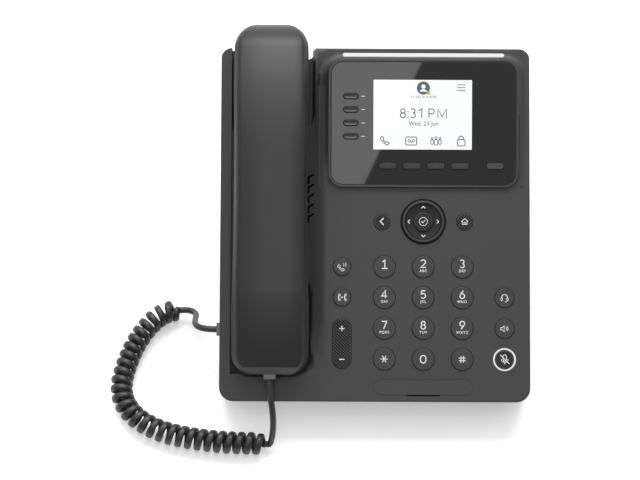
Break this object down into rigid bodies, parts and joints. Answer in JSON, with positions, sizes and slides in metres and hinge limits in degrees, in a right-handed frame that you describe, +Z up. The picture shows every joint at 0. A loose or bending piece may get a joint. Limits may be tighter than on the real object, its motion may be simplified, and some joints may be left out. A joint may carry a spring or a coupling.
{
  "type": "desk ip phone",
  "caption": "Desk phone on a sloping stand, with a colour display, a keypad, a navigation ring, a lift-off handset in a side cradle and a coiled cord.",
  "frame": {"origin": "on the desk, under the middle of the phone without its cord", "axes": "+X to the user's right, +Y away from the user, +Z up"},
  "size_m": [0.2485, 0.2208, 0.1383],
  "materials": {
    "housing": "fine grain, satin",
    "handset": "fine grain, satin",
    "key_caps": "satin",
    "trim": "satin",
    "lens": "polished",
    "screen": "polished",
    "light_pipe": "frosted",
    "silicone": "matte",
    "circuit_board": "solder mask",
    "socket_black": "satin",
    "steel": "plated",
    "rubber": "matte",
    "cord": "satin jacket",
    "plug_black": "moulded"
  },
  "bodies": {
    "base": {"front_cover": "housing", "rear_cover": "housing", "base_screws": "steel", "display_bezel": "trim", "display_lens": "lens", "lcd_module": "screen", "status_light_bar": "light_pipe", "badge_plate": "trim", "key_mats": "silicone", "main_board": "circuit_board", "rear_ports": "socket_black", "side_ports": "socket_black", "loudspeaker": "steel", "hook_switch": "socket_black", "desk_stand": "housing", "rubber_feet": "rubber", "mute_light_ring": "light_pipe", "cord_plug_base": "plug_black", "cord_base_lead": "cord", "cord_coil": "cord"},
    "handset": {"handset_back": "handset", "handset_front": "handset", "handset_socket": "socket_black", "handset_receiver": "trim", "handset_microphone": "trim", "cord_plug_handset": "plug_black", "cord_handset_lead": "cord"},
    "hook_plunger": {"hook_plunger": "trim"},
    "key_1": {"key_1": "key_caps"},
    "key_2": {"key_2": "key_caps"},
    "key_3": {"key_3": "key_caps"},
    "key_4": {"key_4": "key_caps"},
    "key_5": {"key_5": "key_caps"},
    "key_6": {"key_6": "key_caps"},
    "key_7": {"key_7": "key_caps"},
    "key_8": {"key_8": "key_caps"},
    "key_9": {"key_9": "key_caps"},
    "key_star": {"key_star": "key_caps"},
    "key_0": {"key_0": "key_caps"},
    "key_hash": {"key_hash": "key_caps"},
    "hold_key": {"hold_key": "key_caps"},
    "transfer_key": {"transfer_key": "key_caps"},
    "headset_key": {"headset_key": "key_caps"},
    "speaker_key": {"speaker_key": "key_caps"},
    "back_key": {"back_key": "key_caps"},
    "home_key": {"home_key": "key_caps"},
    "mute_key": {"mute_key": "key_caps"},
    "select_key": {"select_key": "key_caps"},
    "line_key_1": {"line_key_1": "key_caps"},
    "line_key_2": {"line_key_2": "key_caps"},
    "line_key_3": {"line_key_3": "key_caps"},
    "line_key_4": {"line_key_4": "key_caps"},
    "soft_key_1": {"soft_key_1": "key_caps"},
    "soft_key_2": {"soft_key_2": "key_caps"},
    "soft_key_3": {"soft_key_3": "key_caps"},
    "soft_key_4": {"soft_key_4": "key_caps"},
    "app_key": {"app_key": "key_caps"},
    "nav_carrier": {"nav_carrier": "trim"},
    "nav_ring": {"nav_ring": "key_caps"},
    "volume_rocker": {"volume_rocker": "key_caps"}
  },
  "joints": [
    {"name": "handset_lift", "type": "slide", "parent": "base", "child": "handset", "axis": [0, -0.4695, 0.8829], "range_m": [0, 0.12]},
    {"name": "hook_travel", "type": "slide", "parent": "base", "child": "hook_plunger", "axis": [0, -0.4695, 0.8829], "range_m": [0, 0.003]},
    {"name": "key_1_press", "type": "slide", "parent": "base", "child": "key_1", "axis": [0, 0.4695, -0.8829], "range_m": [0, 0.0008], "stiffness_N_per_m": 1400, "springref_m": -0.0002},
    {"name": "key_2_press", "type": "slide", "parent": "base", "child": "key_2", "axis": [0, 0.4695, -0.8829], "range_m": [0, 0.0008], "stiffness_N_per_m": 1400, "springref_m": -0.0002},
    {"name": "key_3_press", "type": "slide", "parent": "base", "child": "key_3", "axis": [0, 0.4695, -0.8829], "range_m": [0, 0.0008], "stiffness_N_per_m": 1400, "springref_m": -0.0002},
    {"name": "key_4_press", "type": "slide", "parent": "base", "child": "key_4", "axis": [0, 0.4695, -0.8829], "range_m": [0, 0.0008], "stiffness_N_per_m": 1400, "springref_m": -0.0002},
    {"name": "key_5_press", "type": "slide", "parent": "base", "child": "key_5", "axis": [0, 0.4695, -0.8829], "range_m": [0, 0.0008], "stiffness_N_per_m": 1400, "springref_m": -0.0002},
    {"name": "key_6_press", "type": "slide", "parent": "base", "child": "key_6", "axis": [0, 0.4695, -0.8829], "range_m": [0, 0.0008], "stiffness_N_per_m": 1400, "springref_m": -0.0002},
    {"name": "key_7_press", "type": "slide", "parent": "base", "child": "key_7", "axis": [0, 0.4695, -0.8829], "range_m": [0, 0.0008], "stiffness_N_per_m": 1400, "springref_m": -0.0002},
    {"name": "key_8_press", "type": "slide", "parent": "base", "child": "key_8", "axis": [0, 0.4695, -0.8829], "range_m": [0, 0.0008], "stiffness_N_per_m": 1400, "springref_m": -0.0002},
    {"name": "key_9_press", "type": "slide", "parent": "base", "child": "key_9", "axis": [0, 0.4695, -0.8829], "range_m": [0, 0.0008], "stiffness_N_per_m": 1400, "springref_m": -0.0002},
    {"name": "key_star_press", "type": "slide", "parent": "base", "child": "key_star", "axis": [0, 0.4695, -0.8829], "range_m": [0, 0.0008], "stiffness_N_per_m": 1400, "springref_m": -0.0002},
    {"name": "key_0_press", "type": "slide", "parent": "base", "child": "key_0", "axis": [0, 0.4695, -0.8829], "range_m": [0, 0.0008], "stiffness_N_per_m": 1400, "springref_m": -0.0002},
    {"name": "key_hash_press", "type": "slide", "parent": "base", "child": "key_hash", "axis": [0, 0.4695, -0.8829], "range_m": [0, 0.0008], "stiffness_N_per_m": 1400, "springref_m": -0.0002},
    {"name": "hold_key_press", "type": "slide", "parent": "base", "child": "hold_key", "axis": [0, 0.4695, -0.8829], "range_m": [0, 0.0008], "stiffness_N_per_m": 1400, "springref_m": -0.0002},
    {"name": "transfer_key_press", "type": "slide", "parent": "base", "child": "transfer_key", "axis": [0, 0.4695, -0.8829], "range_m": [0, 0.0008], "stiffness_N_per_m": 1400, "springref_m": -0.0002},
    {"name": "headset_key_press", "type": "slide", "parent": "base", "child": "headset_key", "axis": [0, 0.4695, -0.8829], "range_m": [0, 0.0008], "stiffness_N_per_m": 1400, "springref_m": -0.0002},
    {"name": "speaker_key_press", "type": "slide", "parent": "base", "child": "speaker_key", "axis": [0, 0.4695, -0.8829], "range_m": [0, 0.0008], "stiffness_N_per_m": 1400, "springref_m": -0.0002},
    {"name": "back_key_press", "type": "slide", "parent": "base", "child": "back_key", "axis": [0, 0.4695, -0.8829], "range_m": [0, 0.0008], "stiffness_N_per_m": 1400, "springref_m": -0.0002},
    {"name": "home_key_press", "type": "slide", "parent": "base", "child": "home_key", "axis": [0, 0.4695, -0.8829], "range_m": [0, 0.0008], "stiffness_N_per_m": 1400, "springref_m": -0.0002},
    {"name": "mute_key_press", "type": "slide", "parent": "base", "child": "mute_key", "axis": [0, 0.4695, -0.8829], "range_m": [0, 0.0008], "stiffness_N_per_m": 1400, "springref_m": -0.0002},
    {"name": "select_key_press", "type": "slide", "parent": "base", "child": "select_key", "axis": [0, 0.4695, -0.8829], "range_m": [0, 0.0008], "stiffness_N_per_m": 1400, "springref_m": -0.0002},
    {"name": "line_key_1_press", "type": "slide", "parent": "base", "child": "line_key_1", "axis": [0, 0.5299, -0.848], "range_m": [0, 0.0005], "stiffness_N_per_m": 1400, "springref_m": -0.0002},
    {"name": "line_key_2_press", "type": "slide", "parent": "base", "child": "line_key_2", "axis": [0, 0.5299, -0.848], "range_m": [0, 0.0005], "stiffness_N_per_m": 1400, "springref_m": -0.0002},
    {"name": "line_key_3_press", "type": "slide", "parent": "base", "child": "line_key_3", "axis": [0, 0.5299, -0.848], "range_m": [0, 0.0005], "stiffness_N_per_m": 1400, "springref_m": -0.0002},
    {"name": "line_key_4_press", "type": "slide", "parent": "base", "child": "line_key_4", "axis": [0, 0.5299, -0.848], "range_m": [0, 0.0005], "stiffness_N_per_m": 1400, "springref_m": -0.0002},
    {"name": "soft_key_1_press", "type": "slide", "parent": "base", "child": "soft_key_1", "axis": [0, 0.5299, -0.848], "range_m": [0, 0.0005], "stiffness_N_per_m": 1400, "springref_m": -0.0002},
    {"name": "soft_key_2_press", "type": "slide", "parent": "base", "child": "soft_key_2", "axis": [0, 0.5299, -0.848], "range_m": [0, 0.0005], "stiffness_N_per_m": 1400, "springref_m": -0.0002},
    {"name": "soft_key_3_press", "type": "slide", "parent": "base", "child": "soft_key_3", "axis": [0, 0.5299, -0.848], "range_m": [0, 0.0005], "stiffness_N_per_m": 1400, "springref_m": -0.0002},
    {"name": "soft_key_4_press", "type": "slide", "parent": "base", "child": "soft_key_4", "axis": [0, 0.5299, -0.848], "range_m": [0, 0.0005], "stiffness_N_per_m": 1400, "springref_m": -0.0002},
    {"name": "app_key_press", "type": "slide", "parent": "base", "child": "app_key", "axis": [0, 0.5299, -0.848], "range_m": [0, 0.0005], "stiffness_N_per_m": 1400, "springref_m": -0.0002},
    {"name": "nav_up_down", "type": "hinge", "parent": "base", "child": "nav_carrier", "pos_m": [0.0283, -0.00304, 0.07222], "axis": [1, 0, 0], "range_deg": [-3, 3], "stiffness_Nm_per_rad": 0.4},
    {"name": "nav_left_right", "type": "hinge", "parent": "nav_carrier", "child": "nav_ring", "pos_m": [0.0283, -0.00452, 0.075], "axis": [0, 0.8829, 0.4695], "range_deg": [-3, 3], "stiffness_Nm_per_rad": 0.4},
    {"name": "volume_rock", "type": "hinge", "parent": "base", "child": "volume_rocker", "pos_m": [-0.0193, -0.06625, 0.03859], "axis": [1, 0, 0], "range_deg": [-3, 3], "stiffness_Nm_per_rad": 0.5}
  ],
  "couplings": [
    {"joint": "hook_travel", "follows": "handset_lift", "ratio": 0.025}
  ]
}
